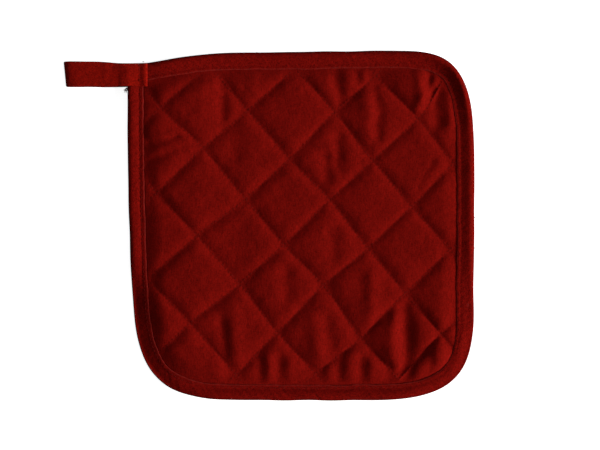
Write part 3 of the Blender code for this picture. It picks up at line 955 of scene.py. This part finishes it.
class POTHOLDER_OT_edge_binding(bpy.types.Operator):
    """Make the binding: one folded tape round the whole edge, with its roll, stitched valley and lip"""

    bl_idname = "potholder.edge_binding"
    bl_label = "Edge binding"

    def execute(self, context):
        tape = context.scene.tape_sizes
        colours = context.scene.cloth_colours
        edge = Outline(tape.facet)
        from_corner = np.minimum(edge.along, edge.total - edge.along)
        kept = (from_corner == 0) | (from_corner > PAD_JOIN)
        points, steps, along = edge.points[kept], edge.steps[kept], edge.along[kept]
        inset, height, across = self.section(tape.thickness)
        upper = height > UPPER_HEIGHT
        hem = (self.hem_shift(steps) + self.hem_wander(along))[:, None]
        inset = inset[None, :] + hem * smooth((across - HEM_SHIFT_START) / HEM_SHIFT_REACH) * upper
        shape = upper * self.spot_shape(points, across) + self.pressed_shape(points, inset, across, height)
        height = np.maximum(0.0, height[None, :] + shape + self.relief(along, across, tape.stitch) * upper)
        x = points[:, :1] + inset * steps[:, :1]
        y = points[:, 1:] + inset * steps[:, 1:]
        bulge = 0.12 * uneven(points[:, 0], points[:, 1], 31, 26.0)[:, None] * (1 - smooth(inset / 4))
        x = x - bulge * steps[:, :1]
        y = y - bulge * steps[:, 1:]
        corners = placed(x, y, settled(x, y, height)).reshape(-1, 3)
        facets = grid_facets(len(points), inset.shape[1], closed_rows=True, closed_columns=True)
        cloth = cloth_places(along, across, height)
        # The lip's paler colour is partly wear and partly painted sheen.
        material = cloth_finish("binding tape", (*colours.tape,), "cloth", TAPE_GRAIN, pitch=0.42, slub=0.45,
                                bias=True, worn_and_sheen=self.rubbed_and_sheen)
        binding = cloth_piece("edge_binding_tape", corners, facets, material, cloth)
        belongs(binding, "binding_tape", "edge_binding")
        return {"FINISHED"}

    @staticmethod
    def section(thickness):
        """The tape's closed section: insets, heights, and how far round from the outer edge each corner is.

        The corners inside the fold count as lying at the hem.
        """
        line = curve_through([(point.inset, point.height) for point in TAPE_LINE], 0.5)
        normal = turned_left(unit(np.gradient(line, axis=0)))
        outer = line - normal * thickness / 2
        inner = (line + normal * thickness / 2)[::-3]
        turn = np.linspace(0, np.pi, ROUND_FACETS)[1:-1, None]
        hem = line[0] + normal[0] * thickness / 2 * np.cos(turn)
        hem = hem + np.array((1.0, 0.15)) * thickness / 2 * np.sin(turn)
        section = np.vstack((outer, inner, hem))
        round_tape = lengths_along(outer)
        to_hem = round_tape[np.argmin(outer[:, 0])]
        across = np.concatenate((np.abs(round_tape - to_hem), np.full(len(inner) + len(hem), to_hem)))
        return section[:, 0], section[:, 1], across

    @staticmethod
    def hem_shift(inward):
        """How much further in the hem lies at each station, from the table of sides."""
        shift = np.zeros(len(inward))
        for side in TAPE_SIDES:
            shift += side.hem * np.clip(-unit(inward) @ heading(side.faces), 0.0, 1.0) ** 2
        return shift

    @staticmethod
    def closeness(points, spot):
        """1 at a spot and 0 far from it, one column for all the stations."""
        return np.exp(-(np.hypot(points[:, :1] - spot.x, points[:, 1:] - spot.y) / spot.reach) ** 2)

    def spot_shape(self, points, across):
        """How much higher the tape stands, from the table of spots."""
        shape = 0.0
        for spot in TAPE_SPOTS:
            roll = spot.roll * np.exp(-((across - spot.roll_across) / ROLL_WIDTH) ** 2)
            valley = spot.valley * np.exp(-((across - VALLEY_ACROSS) / VALLEY_WIDTH) ** 2)
            shape = shape + self.closeness(points, spot) * (roll + valley)
        return shape

    def pressed_shape(self, points, inset, across, height):
        """How much lower the tape lies where its roll is pressed to an even slope."""
        above = smooth((height - PRESSED_FLOOR) / PRESSED_EASE)
        outside = above * (1 - smooth((across - PRESSED_LAST_ACROSS) / PRESSED_EASE))
        shape = 0.0
        for spot in PRESSED_SPOTS:
            share = spot.share * smooth(1.4 * self.closeness(points, spot))
            even = spot.edge + spot.slope * inset - spot.bend * inset ** 2
            shape = shape + share * (even - self.upper_line(inset)) * outside
        return shape

    @staticmethod
    def upper_line(inset):
        """Height of the tape's middle line above the pad, at an inset."""
        upper = [point for point in reversed(TAPE_LINE) if point.height > UPPER_HEIGHT]
        return np.interp(inset, [point.inset for point in upper], [point.height for point in upper])

    @staticmethod
    def hem_wander(along):
        """How far the inner hem strays from its place."""
        return 0.17 * uneven(along, 0.0, 21, 19.0) + 0.08 * uneven(along, 0.0, 22, 6.0)

    @staticmethod
    def relief(along, across, stitch):
        """Unevenness of the tape's upper side: the roll swells, the tape drags and the stitches pull pits."""
        roll = np.exp(-((across - ROLL_ACROSS) / ROLL_WIDTH) ** 2)
        swell = 0.13 * uneven(along, 0.0, 23, 31.0) + 0.06 * uneven(along, 0.0, 24, 11.0)
        valley = np.exp(-((across - STITCHES_ACROSS) / STITCHES_WIDTH) ** 2)
        pits = 0.04 * np.cos(2 * np.pi * along / stitch)
        drag = 0.05 * uneven(along[:, None] + 0.8 * across[None, :], across[None, :] * 0.25, 25, 4.2)
        return swell[:, None] * roll + pits[:, None] * valley + drag * smooth(across / 3)[None, :]

    @staticmethod
    def rubbed_and_sheen(finish):
        """Where the tape's lip is paler: partly rubbed, partly a painted sheen where the raised lip catches
        the light.
        """
        along, across = finish.cloth_millimetres()[:2]
        lip = 1.0 - ((across - LIP_ACROSS).maths("ABSOLUTE") * 1.4).maths("MINIMUM", 1.0)
        broken = finish.noise(finish.together(along * 0.9, across, 5.0), 0.7, detail=2.0)
        return (lip * (broken * 0.9 - 0.1)).maths("MAXIMUM", 0.0)


LOOP_LENGTH = 37.0
STRIP_FACETS = 22


class POTHOLDER_OT_hanging_loop(bpy.types.Operator):
    """Make the hanging loop: one strip of doubled tape round the corner, its end turned under and stitched"""

    bl_idname = "potholder.hanging_loop"
    bl_label = "Hanging loop"

    def execute(self, context):
        tape = context.scene.tape_sizes
        colours = context.scene.cloth_colours
        line = curve_through([(point.x, point.height) for point in STRIP_LINE], 0.45)
        normal = turned_left(unit(np.gradient(line, axis=0)))
        along = lengths_along(line)
        middle = (tape.loop_top + tape.loop_bottom) / 2
        half = (tape.loop_top - tape.loop_bottom) / 2
        ring_across, ring_side = self.cross_section(half, tape.thickness / 2)
        wander = 0.08 * uneven(along, 0.0, 41, 17.0) - 0.35 + 0.55 * smooth((-104.0 - line[:, 0]) / 14.0)
        x = line[:, :1] - normal[:, :1] * ring_side[None, :]
        height = line[:, 1:] - normal[:, 1:] * ring_side[None, :]
        y = middle + ring_across[None, :] * (1 + wander / half)[:, None]
        y = y + self.drop(x)
        height = np.maximum(0.0, height + self.relief(x, y, height, middle))
        share = np.clip((EDGE[0].x - x) / LOOP_LENGTH, 0.0, 1.0)
        x = x + tape.loop_slant * share * (tape.loop_top - y) / (2 * half)
        rows, columns = x.shape
        facets = grid_facets(rows, columns, closed_columns=True)
        facets.append(list(range(columns)))
        facets.append([(rows - 1) * columns + corner for corner in range(columns)])
        cloth = cloth_places(along, ring_across, height)
        material = cloth_finish("loop tape", (*colours.loop,), "cloth", TAPE_GRAIN, pitch=0.42, slub=0.45,
                                bias=True)
        loop = cloth_piece("hanging_loop_strip", placed(x, y, height).reshape(-1, 3), facets, material, cloth)
        belongs(loop, "loop_tape", "hanging_loop")
        return {"FINISHED"}

    @staticmethod
    def cross_section(half, thick):
        """The strip's closed section, with round edges: place across it, and side of its middle line."""
        flat = np.linspace(-half + thick, half - thick, STRIP_FACETS)
        angle = np.linspace(-np.pi / 2, np.pi / 2, 7)[1:-1]
        across = np.concatenate((flat, half - thick + thick * np.cos(angle), flat[::-1],
                                 -half + thick - thick * np.cos(angle)))
        side = np.concatenate((np.full(STRIP_FACETS, -thick), thick * np.sin(angle),
                               np.full(STRIP_FACETS, thick), -thick * np.sin(angle)))
        return across, side

    @staticmethod
    def drop(x):
        """The strip isn't quite level: its fold lies a little nearer to the top edge than its sewn end."""
        return 0.5 * smooth((-104.0 - x) / 16.0) - 0.42

    @staticmethod
    def relief(x, y, height, middle):
        """Soft unevenness of the upper layer, with a shallow hollow low down beside the corner."""
        upper = smooth((height - UPPER_HEIGHT) / UPPER_HEIGHT)
        hollow = -0.35 * np.exp(-((x + 106.5) / 4.2) ** 2 - ((y - middle + 5.0) / 5.0) ** 2)
        swell = 0.13 * uneven(x, y, 42, 12.0) + 0.05 * uneven(x, y, 43, 4.5)
        return upper * (hollow + swell)


# Half of a thread's length as a share of its stitch, and where the stitches stop, in millimetres.
QUILT_STITCH_SHARE = 0.4
BINDING_STITCH_SHARE = 0.36
LOOP_STITCH_SHARE = 0.38
NEAR_PAD = 100.0
CLEAR_OF_HEM = 0.3
CLEAR_OF_CORNER = 14.0
CLEAR_OF_LOOP_EDGE = 0.8

# How far the tapes' stitches sink into the tape or stand on it.
BINDING_STITCH_SINK = 0.02
LOOP_STITCH_RISE = 0.12


def stitch_lines(outline, level, stitch):
    """Middle lines of the quilting stitches: level 0 is the face and 1 the back."""
    lines = []
    for pitch in (FALLING_PITCH, RISING_PITCH):
        count = round(CELLS_ACROSS * pitch / stitch)
        centre = (np.arange(-count, count) + 0.5) * stitch / pitch
        along = centre[:, None] + HALF_STITCH[None, :] * QUILT_STITCH_SHARE * stitch / pitch
        for line in range(-CELLS_ACROSS, CELLS_ACROSS + 1):
            fixed = np.full(along.shape, float(line))
            rising, falling = (fixed, along) if pitch == FALLING_PITCH else (along, fixed)
            place = place_in_quilt(rising, falling)
            near = (np.abs(place[:, 2]) < NEAR_PAD).all(axis=-1)
            if not near.any():
                continue
            inset = outline.inset(place[near])
            seen = inset.min(axis=1) > PAD_JOIN + CLEAR_OF_HEM
            found = place[near][seen]
            heights = pad_heights(rising[near][seen], falling[near][seen], found, inset[seen])[level]
            heights = arched(heights, side=1 - 2 * level)
            lines.extend(placed(found[..., 0], found[..., 1], heights))
    return lines


class POTHOLDER_OT_quilting_stitches(bpy.types.Operator):
    """Make the quilting stitches of the face and of the back, one short thread for each stitch"""

    bl_idname = "potholder.quilting_stitches"
    bl_label = "Quilting stitches"

    def execute(self, context):
        quilt = context.scene.quilt_sizes
        material = thread_finish("quilting thread", (*context.scene.cloth_colours.thread,))
        for level, name in enumerate(("quilting_stitches_face", "quilting_stitches_back")):
            lines = stitch_lines(COARSE_EDGE, level, quilt.stitch)
            belongs(threads_piece(name, lines, THREAD_RADIUS, STITCH_TAPER, material), "pad_cloth")
        return {"FINISHED"}


class POTHOLDER_OT_tape_stitches(bpy.types.Operator):
    """Make the stitches that hold the binding and the hanging loop"""

    bl_idname = "potholder.tape_stitches"
    bl_label = "Tape stitches"

    def execute(self, context):
        tape = context.scene.tape_sizes
        material = thread_finish("tape thread", (*context.scene.cloth_colours.thread,))
        for name, lines, slot in (("binding_stitches", self.round_edge(tape), "binding_tape"),
                                  ("loop_stitches", self.across_loop(tape), "loop_tape")):
            belongs(threads_piece(name, lines, TAPE_THREAD_RADIUS, STITCH_TAPER, material), slot)
        return {"FINISHED"}

    @staticmethod
    def round_edge(tape):
        """Lines of the stitches in the binding's valley. None stand beside the corner under the loop."""
        edge = Outline(tape.facet)
        valley = TAPE_LINE[2]
        valley_line = edge.points + valley.inset * edge.steps
        lines = []
        for number in range(int(edge.total / tape.stitch)):
            middle = (number + 0.5) * tape.stitch
            if min(middle, edge.total - middle) < CLEAR_OF_CORNER:
                continue
            along = middle + HALF_STITCH * BINDING_STITCH_SHARE * tape.stitch
            x, y = (np.interp(along, edge.along, valley_line[:, axis]) for axis in (0, 1))
            height = arched(valley.height + tape.thickness / 2 - BINDING_STITCH_SINK)
            lines.append(placed(x, y, settled(x, y, height)))
        return lines

    @staticmethod
    def across_loop(tape):
        """Lines of the stitches across the loop, from its upper edge to its lower one."""
        valley = STRIP_LINE[5]
        height = arched(valley.height + tape.thickness / 2 + LOOP_STITCH_RISE)
        lines = []
        y = tape.loop_top - CLEAR_OF_LOOP_EDGE
        while y - tape.stitch > tape.loop_bottom:
            middle = y - tape.stitch / 2
            along = middle + HALF_STITCH * LOOP_STITCH_SHARE * tape.stitch
            lines.append(placed(np.full(len(along), valley.x), along, height))
            y -= tape.stitch
        return lines


LOWEST_THREAD = 0.4
THREAD_DROP = 0.55


class POTHOLDER_OT_loose_threads(bpy.types.Operator):
    """Make the few loose ends of thread at the corner under the loop and along the edge"""

    bl_idname = "potholder.loose_threads"
    bl_label = "Loose threads"

    def execute(self, context):
        material = thread_finish("loose thread", LOOSE_THREAD_COLOUR)
        share = np.linspace(0, 1, len(END_TAPER))
        lines = []
        for end in LOOSE_ENDS:
            turning = np.radians(end.heading + end.turn * share)
            step = end.length / (len(share) - 1)
            x = end.x + np.concatenate(([0.0], np.cumsum(np.cos(turning[:-1]) * step)))
            y = end.y + np.concatenate(([0.0], np.cumsum(np.sin(turning[:-1]) * step)))
            height = np.maximum(LOWEST_THREAD, end.height * (1 - THREAD_DROP * share ** 1.5))
            lines.append(placed(x, y, height))
        belongs(threads_piece("loose_threads", lines, THREAD_RADIUS, END_TAPER, material), "binding_tape")
        return {"FINISHED"}


# ---------------------------------------- studio

# The lights' spreads, the camera's place beside the middle of the part and its sensor in millimetres, and the
# floor: its radius in metres, how it glows and how far below the part it lies, in millimetres.
KEY_SPREAD = math.radians(24)
FILL_SPREAD = math.radians(170)
STRAIGHT_UP = math.radians(90)
CAMERA_SHIFT = (0.0178, 0.0003)
SENSOR_WIDTH = 36.0
FLOOR_RADIUS = 6.0
FLOOR_GLOW = 0.85
FLOOR_GAP = 0.1


def sun(name, strength, elevation, azimuth, spread):
    """A broad light that shines from an elevation and an azimuth, which is counted from +X towards +Y."""
    light = bpy.data.lights.new(name, "SUN")
    light.energy = strength
    light.angle = spread
    lamp = bpy.data.objects.new(name, light)
    bpy.context.scene.collection.objects.link(lamp)
    towards = Vector((math.cos(elevation) * math.cos(azimuth), math.cos(elevation) * math.sin(azimuth),
                      math.sin(elevation)))
    lamp.rotation_euler = towards.to_track_quat("Z", "Y").to_euler()
    return lamp


class POTHOLDER_OT_studio(bpy.types.Operator):
    """Make the pale floor, the soft lights, the pale surroundings and the camera straight above"""

    bl_idname = "potholder.studio"
    bl_label = "Studio"

    def execute(self, context):
        scene = context.scene
        studio = scene.studio
        middle = (CAD_BOX[0] + CAD_BOX[1]) / 2
        self.floor()
        sun("key light", studio.key, studio.key_height, studio.key_side, KEY_SPREAD)
        sun("fill light", studio.fill, STRAIGHT_UP, 0.0, FILL_SPREAD)
        world = bpy.data.worlds.new("pale surroundings")
        scene.world = world
        world.use_nodes = True
        world.node_tree.nodes["Background"].inputs["Color"].default_value = (1.0, 1.0, 1.0, 1.0)
        for seen_by in ("diffuse", "glossy", "transmission", "scatter"):
            setattr(world.cycles_visibility, seen_by, False)
        camera = bpy.data.cameras.new("camera")
        camera.lens = studio.lens
        camera.sensor_width = SENSOR_WIDTH
        camera_object = bpy.data.objects.new("camera", camera)
        scene.collection.objects.link(camera_object)
        camera_object.location = (middle.x + CAMERA_SHIFT[0], middle.y + CAMERA_SHIFT[1], studio.distance)
        scene.camera = camera_object
        scene.view_settings.view_transform = "Standard"
        return {"FINISHED"}

    @staticmethod
    def floor():
        """A wide pale floor just under the pot holder. It glows a little and casts no light on it."""
        finish = Finish("pale floor", roughness=1.0, specular=0.0, sheen=0.0, sheen_tint=(1.0, 1.0, 1.0))
        finish.feed(finish.shader.inputs["Base Color"], (0.9, 0.9, 0.9, 1.0))
        finish.feed(finish.shader.inputs["Emission Color"], (1.0, 1.0, 1.0, 1.0))
        finish.feed(finish.shader.inputs["Emission Strength"], FLOOR_GLOW)
        mesh = bmesh.new()
        bmesh.ops.create_circle(mesh, cap_ends=True, radius=FLOOR_RADIUS, segments=96)
        data = bpy.data.meshes.new("floor")
        mesh.to_mesh(data)
        mesh.free()
        data.materials.append(finish.material)
        floor = bpy.data.objects.new("floor", data)
        floor.location.z = -FLOOR_GAP * MM
        floor.visible_diffuse = False
        bpy.context.scene.collection.objects.link(floor)


# ---------------------------------------- panel

OPERATORS = (
    POTHOLDER_OT_quilted_pad,
    POTHOLDER_OT_edge_binding,
    POTHOLDER_OT_hanging_loop,
    POTHOLDER_OT_quilting_stitches,
    POTHOLDER_OT_tape_stitches,
    POTHOLDER_OT_loose_threads,
    POTHOLDER_OT_studio,
)
GROUPS = {
    "quilt_sizes": QuiltSizes,
    "tape_sizes": TapeSizes,
    "cloth_colours": ClothColours,
    "studio": StudioSettings,
}


class POTHOLDER_PT_panel(bpy.types.Panel):
    """Sizes, colours and makers of the pot holder's pieces"""

    bl_idname = "POTHOLDER_PT_panel"
    bl_label = "Pot holder"
    bl_space_type = "VIEW_3D"
    bl_region_type = "UI"
    bl_category = "Pot holder"

    def draw(self, context):
        for name, group in GROUPS.items():
            box = self.layout.box()
            box.label(text=name.replace("_", " ").capitalize())
            for size in group.__annotations__:
                box.prop(getattr(context.scene, name), size)
        for operator in OPERATORS:
            self.layout.operator(operator.bl_idname)


def register():
    for group in GROUPS.values():
        bpy.utils.register_class(group)
    for name, group in GROUPS.items():
        setattr(bpy.types.Scene, name, PointerProperty(type=group))
    for operator in OPERATORS:
        bpy.utils.register_class(operator)
    bpy.utils.register_class(POTHOLDER_PT_panel)


def unregister():
    bpy.utils.unregister_class(POTHOLDER_PT_panel)
    for operator in reversed(OPERATORS):
        bpy.utils.unregister_class(operator)
    for name, group in GROUPS.items():
        delattr(bpy.types.Scene, name)
        bpy.utils.unregister_class(group)


def main():
    register()
    for operator in OPERATORS:
        group, name = operator.bl_idname.split(".")
        getattr(getattr(bpy.ops, group), name)()


if __name__ == "__main__":
    main()
